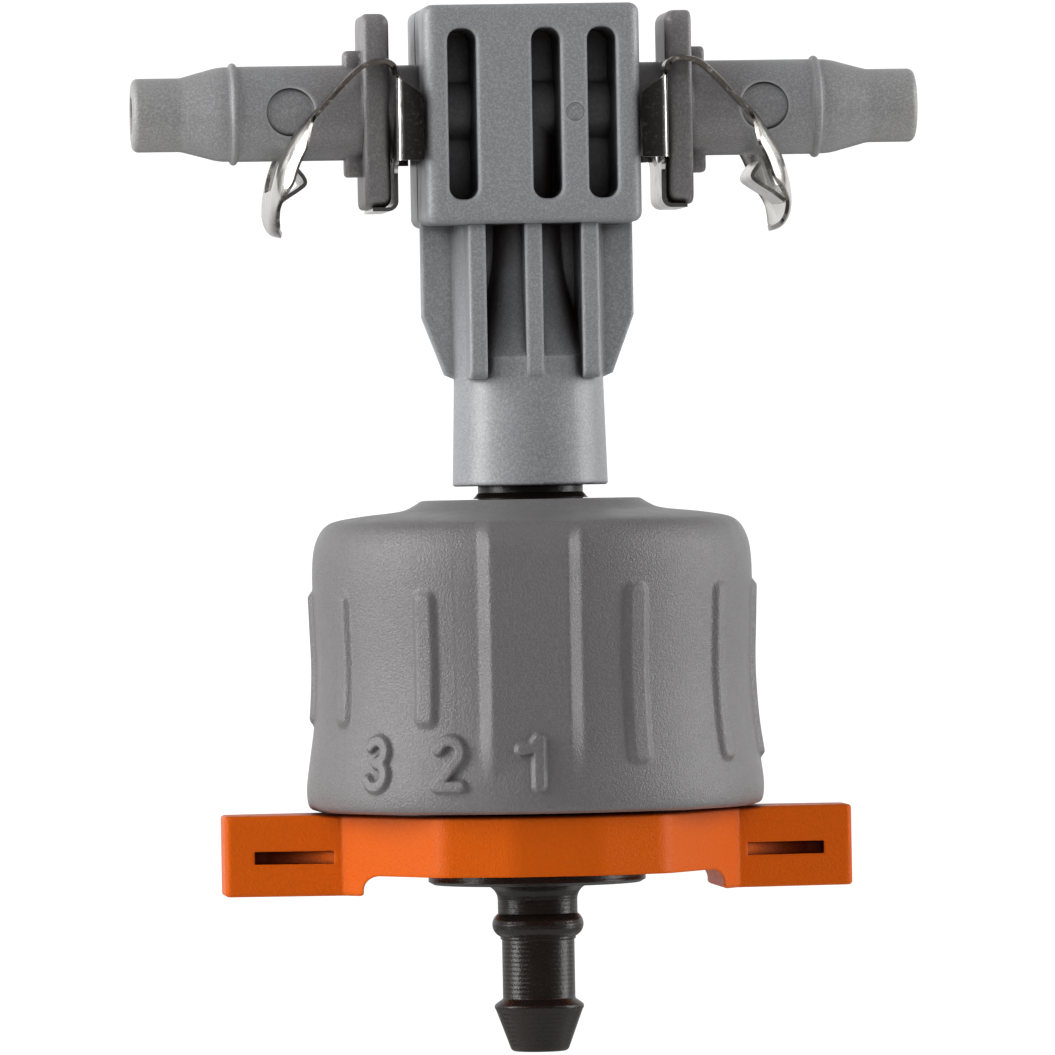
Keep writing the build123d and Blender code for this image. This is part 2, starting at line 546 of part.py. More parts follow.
with BuildPart() as tee_body:
    # Slotted block, its edges rounded before anything joins it
    with BuildSketch(Plane.XY.offset(BLOCK_BOTTOM)):
        RectangleRounded(2 * BLOCK_HALF_X, 2 * BLOCK_HALF_Y, 0.9)
    extrude(amount=BLOCK_TOP - BLOCK_BOTTOM)
    fillet(tee_body.faces().filter_by(Axis.Z).edges(), radius=0.65)
    for side in (-1, 1):
        with BuildSketch(Plane.XZ.offset(side * BLOCK_HALF_Y)):
            with Locations(*[(x, SLOT_Z) for x in SLOT_X]):
                RectangleRounded(SLOT_WIDTH, SLOT_HEIGHT, 0.8)
        extrude(amount=side * (WEB_HALF - BLOCK_HALF_Y), mode=Mode.SUBTRACT)
    for side in (0, -1):
        slotted_face = tee_body.faces().filter_by(Axis.Y).group_by(Axis.Y)[side][0]
        fillet(slotted_face.inner_wires().edges(), radius=0.28)
    # Mould line down the block's two sides
    for side in (-1, 1):
        with Locations((side * BLOCK_HALF_X, 0, PIPE_Z)):
            Box(2 * PART_LINE_DEPTH, 0.44, BLOCK_TOP - BLOCK_BOTTOM + 1, mode=Mode.SUBTRACT)
    # Socket and neck tube
    with BuildSketch(Plane.XZ):
        Polygon((0, SOCKET_BOTTOM), (SOCKET_R, SOCKET_BOTTOM), (4.98, RIB_BOTTOM),
                (NECK_TUBE_R, BLOCK_BOTTOM + 1), (0, BLOCK_BOTTOM + 1), align=None)
    revolve(axis=Axis.Z)
    fillet(tee_body.edges().group_by(Axis.Z)[0], radius=0.2)
    # Pockets between the ribs, front and back, down to the riser core
    add(neck_pockets.part, mode=Mode.SUBTRACT)
    with Locations(*[(x, 0, 0) for x in RIB_X]):
        add(neck_rib.part)
    add(side_fins.part)
    # Hose nipples: neck, body, bead, cone and tip, revolved about the hose line
    with BuildSketch(Plane.XZ):
        with BuildLine():
            Polyline((0, PIPE_Z), (0, PIPE_Z + PIPE_CORE_R), (6.5, PIPE_Z + PIPE_CORE_R))
            Polyline((6.5, PIPE_Z + PIPE_CORE_R), (6.5, PIPE_Z + 3.12), (PLATE_OUTER, PIPE_Z + 3.12))
            Polyline((PLATE_OUTER, PIPE_Z + 3.12), (PLATE_OUTER, PIPE_Z + NIPPLE_R), (19.2, PIPE_Z + NIPPLE_R))
            ThreePointArc((19.2, PIPE_Z + NIPPLE_R), (19.46, PIPE_Z + 3.4), (19.72, PIPE_Z + NIPPLE_R - 0.02))
            ThreePointArc((19.72, PIPE_Z + NIPPLE_R - 0.02), (20.5, PIPE_Z + 3.1), (21.2, PIPE_Z + 2.93))
            Line((21.2, PIPE_Z + 2.93), (22.8, PIPE_Z + 2.5))
            ThreePointArc((22.8, PIPE_Z + 2.5), (23.0, PIPE_Z + 2.46), (23.2, PIPE_Z + NIPPLE_TIP_R))
            Line((23.2, PIPE_Z + NIPPLE_TIP_R), (NIPPLE_END - 0.45, PIPE_Z + NIPPLE_TIP_R))
            ThreePointArc((NIPPLE_END - 0.45, PIPE_Z + NIPPLE_TIP_R), (NIPPLE_END - 0.13, PIPE_Z + 2.32),
                          (NIPPLE_END, PIPE_Z + 2.0))
            Polyline((NIPPLE_END, PIPE_Z + 2.0), (NIPPLE_END, PIPE_Z), (0, PIPE_Z))
        make_face()
        mirror(about=Plane.YZ)
    revolve(axis=Axis((0, 0, PIPE_Z), (1, 0, 0)))
    # Upright waterway inside the block, the locking plates and their lugs
    with BuildSketch(Plane.XY.offset(BLOCK_BOTTOM)):
        Circle(PIPE_CORE_R)
    extrude(amount=PIPE_Z - BLOCK_BOTTOM)
    add(locking_plate.part)
    add(locking_plate.part.mirror(Plane.YZ))
    # Round marks sunk in the front of the nipples, and a shallow ejector mark on the block
    add(nipple_marks.part, mode=Mode.SUBTRACT)
    with BuildSketch(Plane.XZ.offset(BLOCK_HALF_Y)):
        with Locations((2.8, SLOT_Z + 0.05)):
            Circle(0.62)
    extrude(amount=-0.1, mode=Mode.SUBTRACT)
    # Waterway and stem socket
    with BuildSketch(Plane.YZ):
        with Locations((0, PIPE_Z)):
            Circle(HOSE_BORE_R)
    extrude(amount=NIPPLE_END + 1, both=True, mode=Mode.SUBTRACT)
    with BuildSketch(Plane.XZ):
        snap_low = SNAP_Z - SNAP_GROOVE_HALF
        snap_high = SNAP_Z + SNAP_GROOVE_HALF
        wall = STEM_R + STEM_FIT
        Polygon((0, SOCKET_BOTTOM), (wall, SOCKET_BOTTOM), (wall, snap_low), (SNAP_GROOVE_R, snap_low),
                (SNAP_GROOVE_R, snap_high), (wall, snap_high), (wall, STEM_TOP + 0.3),
                (RISER_BORE_R, STEM_TOP + 0.9), (RISER_BORE_R, PIPE_Z), (0, PIPE_Z), align=None)
    revolve(axis=Axis.Z, mode=Mode.SUBTRACT)
tee_body.part.label = "tee_body"
export_step(tee_body.part, "parts/tee_body.step")

# ---------------------------------------------------------------- spring clips
TAB_HEIGHT_LOW = PIPE_Z - 3.4
TAB_INNER_X = 7.2
LOWER_LEG_HALF_Y = 3.5
# Middle of the sheet along the arm, as distance from the tee's centre and height over the hose line
ARM_ARCH = [(9.05, 2.9), (9.8, 3.2), (11.0, 2.98), (12.0, 2.25)]
ARM_SLOPE = (14.4, -0.3)
ARM_LOWER = [(15.7, -1.65), (16.6, -3.3), (17.15, -5.4), (17.2, -7.1)]
ARM_END = [(16.95, -7.9), (16.45, -8.1), (16.15, -7.6)]
FLANGE_INNER = [(14.5, -1.1), (14.95, -2.75), (15.9, -4.4), (16.3, -5.6)]
TONGUE = [(17.1, -6.2), (14.95, -4.95), (15.5, -3.9)]


def clip_point(side, point):
    """A point of the clip's outline in the XZ plane, on the left (-1) or right (1) of the tee."""
    return (side * point[0], PIPE_Z + point[1])


def build_clip(side, label):
    """The leg and the arm of one clip, split at the top bend where the real strip flexes."""
    with BuildPart() as clip_frame:
        # Upright sheet between block and plate
        with BuildSketch(Plane.YZ.offset(side * (LEG_X - SHEET / 2))):
            with BuildLine():
                Polyline((-CLIP_HALF_Y, HINGE_Z - 0.18), (-CLIP_HALF_Y, TAB_HEIGHT_LOW),
                         (-LOWER_LEG_HALF_Y, TAB_HEIGHT_LOW), (-LOWER_LEG_HALF_Y, PIPE_Z - 6.0),
                         (LOWER_LEG_HALF_Y, PIPE_Z - 6.0), (LOWER_LEG_HALF_Y, TAB_HEIGHT_LOW),
                         (CLIP_HALF_Y, TAB_HEIGHT_LOW), (CLIP_HALF_Y, HINGE_Z - 0.18), close=True)
            make_face()
            with Locations((0, PIPE_Z)):
                Circle(WINDOW_HALF_Y, mode=Mode.SUBTRACT)
                with Locations((0, 2)):
                    Rectangle(2 * WINDOW_HALF_Y, 4, mode=Mode.SUBTRACT)
        extrude(amount=side * SHEET)
        # Hook under the plate
        with BuildSketch(Plane.XZ):
            with BuildLine():
                Line(clip_point(side, (LEG_X, -5.9)), clip_point(side, (LEG_X, -6.3)))
                ThreePointArc(clip_point(side, (LEG_X, -6.3)), clip_point(side, (9.08, -6.7)),
                              clip_point(side, (9.5, -6.85)))
                Line(clip_point(side, (9.5, -6.85)), clip_point(side, (10.6, -6.85)))
            trace(line_width=SHEET)
        extrude(amount=LOWER_LEG_HALF_Y, both=True)
        # Side tabs bent towards the block
        for front in (-1, 1):
            with BuildSketch(Plane.XZ.offset(front * CLIP_HALF_Y)):
                Polygon(clip_point(side, (LEG_X, 1.9)), clip_point(side, (8.0, 1.2)),
                        clip_point(side, (TAB_INNER_X, 0.85)), clip_point(side, (TAB_INNER_X, -3.4)),
                        clip_point(side, (LEG_X, -3.4)), align=None)
            extrude(amount=-front * SHEET)
    clip_frame.part.label = f"{label}_clip_frame"
    export_step(clip_frame.part, f"parts/{label}_clip_frame.step")

    with BuildPart() as clip_arm:
        with BuildSketch(Plane.XZ):
            with BuildLine():
                arch = [clip_point(side, point) for point in [(LEG_X, 2.3)] + ARM_ARCH]
                slope_end = clip_point(side, ARM_SLOPE)
                Spline(*arch, tangents=((0, 1), (side, -1)))
                Line(arch[-1], slope_end)
                lower = [slope_end] + [clip_point(side, point) for point in ARM_LOWER]
                Spline(*lower, tangents=((side, -1), (0, -1)))
                Spline(lower[-1], *[clip_point(side, point) for point in ARM_END])
            trace(line_width=SHEET)
            with Locations(arch[0]):
                Circle(SHEET / 2)
        extrude(amount=CLIP_HALF_Y, both=True)
        # Window for nipple and plate, open from the top bend to the tongue
        with BuildSketch(Plane.XY.offset(PIPE_Z + 5)):
            with Locations((side * 12.4, 0)):
                Rectangle(8.6, 2 * WINDOW_HALF_Y)
        extrude(amount=-11.2, mode=Mode.SUBTRACT)
        # Side flanges along the lower half of the arm
        for front in (-1, 1):
            with BuildSketch(Plane.XZ.offset(front * CLIP_HALF_Y)):
                with BuildLine():
                    outer = [slope_end] + [clip_point(side, point) for point in ARM_LOWER]
                    inner = [clip_point(side, point) for point in FLANGE_INNER]
                    Spline(*outer, tangents=((side, -1), (0, -1)))
                    Line(outer[-1], inner[-1])
                    Spline(*reversed(inner))
                    Line(inner[0], outer[0])
                make_face()
            extrude(amount=-front * SHEET)
        # Tongue bent out of the window
        with BuildSketch(Plane.XZ):
            with BuildLine():
                Polyline(*[clip_point(side, point) for point in TONGUE])
            trace(line_width=SHEET)
        extrude(amount=TONGUE_HALF_Y, both=True)
    clip_arm.part.label = f"{label}_clip_arm"
    export_step(clip_arm.part, f"parts/{label}_clip_arm.step")


for side, label in ((-1, "left"), (1, "right")):
    build_clip(side, label)
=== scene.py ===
"""Studio picture of the drip emitter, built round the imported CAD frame.

Lengths are in millimetres until MM scales them, apart from the lamps and the floor, which are in metres.
"""
import json
import math

import bmesh
import bpy
from mathutils import Matrix, Vector


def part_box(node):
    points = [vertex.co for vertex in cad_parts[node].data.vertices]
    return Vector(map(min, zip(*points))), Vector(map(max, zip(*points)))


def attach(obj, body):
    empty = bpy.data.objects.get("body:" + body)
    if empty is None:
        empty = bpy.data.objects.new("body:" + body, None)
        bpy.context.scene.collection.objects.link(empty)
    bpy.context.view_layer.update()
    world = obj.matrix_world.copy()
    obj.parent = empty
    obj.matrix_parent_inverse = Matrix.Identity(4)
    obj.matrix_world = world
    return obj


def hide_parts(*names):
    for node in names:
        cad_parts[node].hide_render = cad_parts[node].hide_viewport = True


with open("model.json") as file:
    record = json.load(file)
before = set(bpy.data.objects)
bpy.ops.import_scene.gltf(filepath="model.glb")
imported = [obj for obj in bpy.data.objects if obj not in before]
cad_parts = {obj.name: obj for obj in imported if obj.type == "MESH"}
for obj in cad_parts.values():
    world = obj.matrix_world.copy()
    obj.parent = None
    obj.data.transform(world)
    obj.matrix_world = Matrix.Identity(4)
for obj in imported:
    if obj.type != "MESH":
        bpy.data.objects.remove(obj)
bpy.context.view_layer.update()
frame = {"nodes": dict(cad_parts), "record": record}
MM = 0.001

# ------------------------------------------------------------------ places read from the frame
_, tee_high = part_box("tee_body")
knob_low, knob_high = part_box("regulator_knob")
HOSE_BELOW_TOP = 6.85
HOSE_Z = tee_high.z / MM - HOSE_BELOW_TOP
KNOB_BOTTOM = knob_low.z / MM
KNOB_TOP = knob_high.z / MM


# ------------------------------------------------------------------ camera
YAW = math.radians(-5.5)
ROLL = math.radians(-1.0)
DISTANCE = 690 * MM
CAMERA_HEIGHT = 37.6 * MM
AIM_HEIGHT = 34.9 * MM
AIM_LEFT = 0.235 * MM
FRAME_WIDTH = 70.33 * MM


def make_camera():
    """A long lens a little left of the front, level with the knob's top, turned by one degree."""
    data = bpy.data.cameras.new("camera")
    data.sensor_width = 36
    data.lens = 36 * DISTANCE / FRAME_WIDTH
    data.clip_start = 0.01
    data.clip_end = 50
    camera = bpy.data.objects.new("camera", data)
    bpy.context.scene.collection.objects.link(camera)
    back = Vector((math.sin(YAW), -math.cos(YAW), 0))
    right = Vector((math.cos(YAW), math.sin(YAW), 0))
    aim = Vector((0, 0, AIM_HEIGHT)) - right * AIM_LEFT
    camera.location = aim + back * DISTANCE + Vector((0, 0, CAMERA_HEIGHT - AIM_HEIGHT))
    look = (aim - camera.location).to_track_quat("-Z", "Y")
    camera.rotation_mode = "QUATERNION"
    camera.rotation_quaternion = look @ Matrix.Rotation(ROLL, 3, "Z").to_quaternion()
    bpy.context.scene.camera = camera


# ------------------------------------------------------------------ light
# Name, place, width and height, power in watts, and whether shiny surfaces mirror it
LAMPS = [
    ("left_box", (-0.56, -0.06, 0.2), (0.25, 0.6), 3.5, True),
    ("right_box", (0.55, -0.03, 0.13), (0.25, 0.6), 2.2, True),
    ("left_key", (-0.42, -0.36, 0.22), (0.14, 0.22), 0.3, True),
    ("right_key", (0.42, -0.36, 0.24), (0.14, 0.22), 0.2, True),
    ("front_fill", (-0.02, -0.6, 0.1), (0.7, 0.5), 0.78, False),
    ("front_key", (0.05, -0.65, 0.07), (0.1, 0.1), 0.3, False),
]
LAMP_AIM = (0, 0, 0.035)
CAMERA_WHITE = 1.1
FLOOR_RADIUS = 0.3
FLOOR_DEPTH = 0.12


def make_light(name, place, size, power, mirrored):
    """A soft box that faces the middle of the object."""
    data = bpy.data.lights.new(name, "AREA")
    data.shape = "RECTANGLE"
    data.size, data.size_y = size
    data.energy = power
    lamp = bpy.data.objects.new(name, data)
    bpy.context.scene.collection.objects.link(lamp)
    lamp.location = place
    lamp.rotation_euler = (Vector(LAMP_AIM) - Vector(place)).to_track_quat("-Z", "Y").to_euler()
    lamp.visible_camera = False
    lamp.visible_glossy = mirrored


def make_world():
    """White behind the object and round its sides, dim in front of it, below it and overhead."""
    world = bpy.data.worlds.new("studio")
    bpy.context.scene.world = world
    world.use_nodes = True
    tree = world.node_tree
    tree.nodes.clear()
    out = tree.nodes.new("ShaderNodeOutputWorld")
    glow = tree.nodes.new("ShaderNodeBackground")
    plain = tree.nodes.new("ShaderNodeBackground")
    pick = tree.nodes.new("ShaderNodeMixShader")
    ray = tree.nodes.new("ShaderNodeLightPath")
    place = tree.nodes.new("ShaderNodeTexCoord")
    split = tree.nodes.new("ShaderNodeSeparateXYZ")
    link = tree.links.new
    link(place.outputs["Generated"], split.inputs[0])
    behind = remap(tree, split.outputs["Y"], -0.75, 0.35, 0.08, 0.85, "LINEAR")
    under = remap(tree, split.outputs["Z"], -0.4, 0.1, 0.08, 1.0, "LINEAR")
    over = remap(tree, split.outputs["Z"], 0.15, 0.9, 1.0, 0.35, "LINEAR")
    link(times(tree, times(tree, behind, under), over), glow.inputs["Strength"])
    for light in (glow, plain):
        light.inputs["Color"].default_value = (1, 1, 1, 1)
    plain.inputs["Strength"].default_value = CAMERA_WHITE
    link(ray.outputs["Is Camera Ray"], pick.inputs[0])
    link(glow.outputs[0], pick.inputs[1])
    link(plain.outputs[0], pick.inputs[2])
    link(pick.outputs[0], out.inputs[0])


def make_studio():
    """The lamps, and a pale round floor well below the object."""
    for lamp in LAMPS:
        make_light(*lamp)
    floor_mesh = bpy.data.meshes.new("floor")
    build = bmesh.new()
    bmesh.ops.create_circle(build, cap_ends=True, segments=96, radius=FLOOR_RADIUS)
    build.to_mesh(floor_mesh)
    build.free()
    floor = bpy.data.objects.new("floor", floor_mesh)
    floor.location.z = -FLOOR_DEPTH
    bpy.context.scene.collection.objects.link(floor)
    paint = bpy.data.materials.new("floor_paint")
    paint.use_nodes = True
    shader = paint.node_tree.nodes["Principled BSDF"]
    shader.inputs["Base Color"].default_value = (0.62, 0.62, 0.61, 1)
    shader.inputs["Roughness"].default_value = 0.8
    floor_mesh.materials.append(paint)


# ------------------------------------------------------------------ materials
# Millimetres: how long the slow waves and patches in plastic are, and how high its waves and rings
WAVE_LENGTH = 6
PATCH_LENGTH = 1.5
WAVE_HEIGHT = 0.02
RING_HEIGHT = 0.005
# Millimetres: how near walls have to be to make a hollow, and a tight crease, that are darkened with painted
# shade
HOLLOW_REACH = 3.2
CREASE_REACH = 0.6
CREASE_SHADE = 0.42
# Steel: how long its smears and stained flecks are, in millimetres, and the colour of the stains
SMEAR_LENGTH = 1.2
FLECK_LENGTH = 0.28
STAIN = (0.10, 0.08, 0.068)


def noise(tree, length, detail, rough=0.55):
    """Noise whose largest blotches are about a length in millimetres."""
    node = tree.nodes.new("ShaderNodeTexNoise")
    node.inputs["Scale"].default_value = 1 / (length * MM)
    node.inputs["Detail"].default_value = detail
    node.inputs["Roughness"].default_value = rough
    coords = tree.nodes.new("ShaderNodeTexCoord")
    tree.links.new(coords.outputs["Object"], node.inputs["Vector"])
    return node


def spread(tree, source, low, high):
    """Carries the middle of a noise's range to low..high."""
    node = tree.nodes.new("ShaderNodeMapRange")
    node.inputs["From Min"].default_value = 0.3
    node.inputs["From Max"].default_value = 0.7
    node.inputs["To Min"].default_value = low
    node.inputs["To Max"].default_value = high
    tree.links.new(source, node.inputs["Value"])
    return node.outputs["Result"]


def mix_colours(tree, share, first, second):
    """A colour between two colours, each a socket or a plain colour."""
    node = tree.nodes.new("ShaderNodeMix")
    node.data_type = "RGBA"
    tree.links.new(share, node.inputs[0])
    for place, colour in ((6, first), (7, second)):
        if isinstance(colour, tuple):
            node.inputs[place].default_value = (*colour, 1)
        else:
            tree.links.new(colour, node.inputs[place])
    return node.outputs[2]


def remap(tree, source, bottom, top, low, high, kind="SMOOTHSTEP"):
    """Carries bottom..top to low..high, with soft ends unless told otherwise."""
    node = tree.nodes.new("ShaderNodeMapRange")
    node.interpolation_type = kind
    node.inputs["From Min"].default_value = bottom
    node.inputs["From Max"].default_value = top
    node.inputs["To Min"].default_value = low
    node.inputs["To Max"].default_value = high
    tree.links.new(source, node.inputs["Value"])
    return node.outputs["Result"]


def times(tree, first, second):
    """The product of two sockets."""
    node = tree.nodes.new("ShaderNodeMath")
    node.operation = "MULTIPLY"
    tree.links.new(first, node.inputs[0])
    tree.links.new(second, node.inputs[1])
    return node.outputs[0]


def bump(tree, height, distance, below=None):
    """A bump of a height in millimetres, laid over another one."""
    node = tree.nodes.new("ShaderNodeBump")
    node.inputs["Strength"].default_value = 1
    node.inputs["Distance"].default_value = distance * MM
    tree.links.new(height, node.inputs["Height"])
    if below is not None:
        tree.links.new(below, node.inputs["Normal"])
    return node.outputs["Normal"]


def turned_lines(tree, pitch):
    """Fine level rings, one to each pitch in millimetres of height."""
    coords = tree.nodes.new("ShaderNodeTexCoord")
    split = tree.nodes.new("ShaderNodeSeparateXYZ")
    turns = tree.nodes.new("ShaderNodeMath")
    turns.operation = "MULTIPLY"
    turns.inputs[1].default_value = 2 * math.pi / (pitch * MM)
    wave = tree.nodes.new("ShaderNodeMath")
    wave.operation = "SINE"
    tree.links.new(coords.outputs["Object"], split.inputs[0])
    tree.links.new(split.outputs["Z"], turns.inputs[0])
    tree.links.new(turns.outputs[0], wave.inputs[0])
    return wave.outputs[0]


def openness(tree, reach, closed, free):
    """0 where walls within a reach close a place in, 1 in the open."""
    node = tree.nodes.new("ShaderNodeAmbientOcclusion")
    node.samples = 6
    node.inputs["Distance"].default_value = reach * MM
    return remap(tree, node.outputs["AO"], closed, free, 0, 1)


def soft_edges(tree, radius):
    """Normals with every sharp edge rounded, and a mask that is 1 along those edges."""
    rounded = tree.nodes.new("ShaderNodeBevel")
    rounded.samples = 6
    rounded.inputs["Radius"].default_value = radius * MM
    plain = tree.nodes.new("ShaderNodeNewGeometry")
    dot = tree.nodes.new("ShaderNodeVectorMath")
    dot.operation = "DOT_PRODUCT"
    tree.links.new(rounded.outputs["Normal"], dot.inputs[0])
    tree.links.new(plain.outputs["Normal"], dot.inputs[1])
    return rounded.outputs["Normal"], remap(tree, dot.outputs["Value"], 0.99, 0.8, 0, 1)


def shade_along_hose(tree, source, stops):
    """Multiplies a colour by factors set at distances in millimetres from the middle, along the hose line:
    painted shade and painted light.
    """
    coords = tree.nodes.new("ShaderNodeTexCoord")
    split = tree.nodes.new("ShaderNodeSeparateXYZ")
    size = tree.nodes.new("ShaderNodeMath")
    size.operation = "ABSOLUTE"
    ramp = tree.nodes.new("ShaderNodeValToRGB")
    tree.links.new(coords.outputs["Object"], split.inputs[0])
    tree.links.new(split.outputs["X"], size.inputs[0])
    reach = stops[-1][0]
    tree.links.new(remap(tree, size.outputs[0], 0, reach * MM, 0, 1, "LINEAR"), ramp.inputs[0])
    for index, (place, factor) in enumerate(stops):
        spot = ramp.color_ramp.elements[index] if index < 2 else ramp.color_ramp.elements.new(place / reach)
        spot.position = place / reach
        spot.color = (*factor, 1)
    product = tree.nodes.new("ShaderNodeMix")
    product.data_type = "RGBA"
    product.blend_type = "MULTIPLY"
    product.inputs[0].default_value = 1
    tree.links.new(source, product.inputs[6])
    tree.links.new(ramp.outputs["Color"], product.inputs[7])
    return product.outputs[2]


def plastic(name, colour, shade, roughness, grain_length, grain_height, specular=0.5, rims=1.3, radius=0.12,
            hollow_shade=(0.02, 0.014, 0.012), hollow=(0.22, 0.78), stops=(), rings=0.0):
    """Moulded plastic: mottled colour, painted shade in hollows and tight creases, painted rim highlights,
    speckled grain and slow waviness.

    The colour drifts to shade times itself, and is rims times itself in pale grain flecks and in a painted
    highlight along open edges, which are rounded to radius. It turns to hollow_shade, a painted shade, where
    openness is below hollow. Stops are painted shade and painted light along the hose, and rings is the
    pitch of fine rings. Lengths are in millimetres.
    """
    material = bpy.data.materials.new(name)
    material.use_nodes = True
    tree = material.node_tree
    shader = tree.nodes["Principled BSDF"]
    link = tree.links.new
    slow = noise(tree, WAVE_LENGTH, 4)
    patch = noise(tree, PATCH_LENGTH, 3)
    grain = noise(tree, grain_length, 2, 0.6)
    darker = tuple(c * shade for c in colour)
    # Paler colour, used for the grain flecks and for the painted rim highlight.
    paler = tuple(min(c * rims, 1.0) for c in colour)
    body = mix_colours(tree, spread(tree, slow.outputs["Fac"], 0, 1), colour, darker)
    speckled = mix_colours(tree, remap(tree, grain.outputs["Fac"], 0.35, 0.8, 0, 0.45), body, paler)
    normals, rim = soft_edges(tree, radius)
    free = openness(tree, HOLLOW_REACH, *hollow)
    # Painted highlight: open edges are made paler, as if they caught the light.
    rim_highlighted = mix_colours(tree, times(tree, rim, free), speckled, paler)
    # Painted shade in tight creases, such as at the feet of the digits' strokes.
    painted_crease_colour = tuple(c * CREASE_SHADE for c in colour)
    crease_shaded = mix_colours(tree, openness(tree, CREASE_REACH, 0.45, 0.95), painted_crease_colour, rim_highlighted)
    # Painted shade and reflection of the clips near them, and painted light at the tee's thin ends.
    hose_shaded = shade_along_hose(tree, crease_shaded, stops) if stops else crease_shaded
    # Painted shade: places that walls close in turn to the hollow's dark colour.
    link(mix_colours(tree, free, hollow_shade, hose_shaded), shader.inputs["Base Color"])
    link(spread(tree, patch.outputs["Fac"], roughness * 0.88, roughness * 1.12), shader.inputs["Roughness"])
    shader.inputs["Specular IOR Level"].default_value = specular
    if rings:
        normals = bump(tree, turned_lines(tree, rings), RING_HEIGHT, normals)
    fine = bump(tree, grain.outputs["Fac"], grain_height, normals)
    link(bump(tree, slow.outputs["Fac"], WAVE_HEIGHT, fine), shader.inputs["Normal"])
    return material


def steel(name, colour, roughness):
    """Bright rolled sheet with smears, and speckled stains where the tarnish attribute says."""
    material = bpy.data.materials.new(name)
    material.use_nodes = True
    tree = material.node_tree
    shader = tree.nodes["Principled BSDF"]
    link = tree.links.new
    shader.inputs["Metallic"].default_value = 1
    smear = noise(tree, SMEAR_LENGTH, 4)
    fleck = noise(tree, FLECK_LENGTH, 3, 0.6)
    worn = tree.nodes.new("ShaderNodeAttribute")
    worn.attribute_name = "tarnish"
    mask = times(tree, worn.outputs["Fac"], remap(tree, fleck.outputs["Fac"], 0.72, 0.52, 0.5, 0.95))
    link(mix_colours(tree, mask, colour, STAIN), shader.inputs["Base Color"])
    link(spread(tree, smear.outputs["Fac"], roughness * 0.6, roughness * 1.5), shader.inputs["Roughness"])
    link(bump(tree, smear.outputs["Fac"], 0.03), shader.inputs["Normal"])
    return material


# Distances from the tee's middle and colour factors there: browner round the clips, a painted shade and
# painted reflection of the clips, and paler at the thin ends, painted light
HOSE_SHADE_AND_LIGHT = [
    (0, (0.84, 0.84, 0.84)), (7.1, (0.84, 0.84, 0.84)), (8.0, (0.62, 0.57, 0.55)),
    (12.5, (0.68, 0.64, 0.62)), (16.5, (0.84, 0.83, 0.82)), (21.0, (0.86, 0.84, 0.82)),
    (26.5, (1.0, 0.97, 0.92)),
]
PLASTICS = {
    "tee_plastic": dict(
        colour=(0.338, 0.344, 0.360), shade=0.95, roughness=0.34, grain_length=0.13, grain_height=0.018,
        specular=0.6, rims=2.2, radius=0.42, hollow=(0.27, 0.52), stops=HOSE_SHADE_AND_LIGHT),
    "knob_plastic": dict(
        colour=(0.168, 0.162, 0.164), shade=0.93, roughness=0.34, grain_length=0.13, grain_height=0.06,
        specular=0.55, rims=1.6, radius=0.1),
    "dark_plastic": dict(
        colour=(0.0140, 0.0098, 0.0078), shade=0.85, roughness=0.28, grain_length=0.16, grain_height=0.02,
        specular=0.4, rims=1.3, radius=0.08, hollow_shade=(0.008, 0.006, 0.005), hollow=(0.05, 0.4), rings=0.3),
    "orange_plastic": dict(
        colour=(0.70, 0.108, 0.0005), shade=0.97, roughness=0.36, grain_length=0.13, grain_height=0.05,
        specular=0.14, rims=1.2, radius=0.3, hollow_shade=(0.10, 0.010, 0.001)),
    "inner_plastic": dict(
        colour=(0.60, 0.60, 0.57), shade=0.95, roughness=0.45, grain_length=0.2, grain_height=0.004),
    "seal_rubber": dict(
        colour=(0.012, 0.012, 0.012), shade=0.8, roughness=0.55, grain_length=0.1, grain_height=0.004),
    "silicone": dict(
        colour=(0.55, 0.53, 0.48), shade=0.95, roughness=0.35, grain_length=0.3, grain_height=0.003),
}
STEELS = {
    "clip_steel": dict(colour=(0.74, 0.72, 0.68), roughness=0.16),
    "spring_steel": dict(colour=(0.55, 0.55, 0.55), roughness=0.28),
}


def make_materials():
    """One material for each of the record's material slots."""
    materials = {slot: plastic(slot, **look) for slot, look in PLASTICS.items()}
    materials.update({slot: steel(slot, **look) for slot, look in STEELS.items()})
    return materials


def dress_nodes(materials):
    """Gives every CAD node the material of its slot."""
    slots = {row["node"]: row["material_slot"] for row in frame["record"]["subparts"]}
    for name, node in frame["nodes"].items():
        node.data.materials.clear()
        node.data.materials.append(materials[slots[name]])


# ------------------------------------------------------------------ shared mesh helpers
def smooth_path(points, count):
    """A smooth open line through the given points: a Catmull-Rom spline, in count steps on each span."""
    points = [Vector(p) for p in points]
    padded = [2 * points[0] - points[1]] + points + [2 * points[-1] - points[-2]]
    line = []
    for before, start, end, after in zip(padded, padded[1:], padded[2:], padded[3:]):
        for step in range(count):
            t = step / count
            pull = (end - before) * t + (2 * before - 5 * start + 4 * end - after) * t * t
            swing = (3 * start - before - 3 * end + after) * t ** 3
            line.append(start + 0.5 * (pull + swing))
    return line + [points[-1]]


def ease(value):
    """A smooth step from 0 to 1."""
    value = min(max(value, 0.0), 1.0)
    return value * value * (3 - 2 * value)


def soft_positive(value, radius):
    """max(value, 0) with its corner rounded."""
    return 0.5 * (value + math.sqrt(value * value + radius * radius)) - 0.25 * radius


def arc(centre, radius, start, end, count):
    """Points of an arc, from a start angle to an end angle in degrees."""
    turns = [math.radians(start + (end - start) * k / count) for k in range(count + 1)]
    return [(centre[0] + radius * math.cos(t), centre[1] + radius * math.sin(t)) for t in turns]


def distance_to(line, x, y):
    """The distance from a point to an open line."""
    best = math.inf
    for (x0, y0), (x1, y1) in zip(line, line[1:]):
        dx, dy = x1 - x0, y1 - y0
        along = min(max(((x - x0) * dx + (y - y0) * dy) / (dx * dx + dy * dy), 0), 1)
        best = min(best, math.hypot(x - x0 - along * dx, y - y0 - along * dy))
    return best


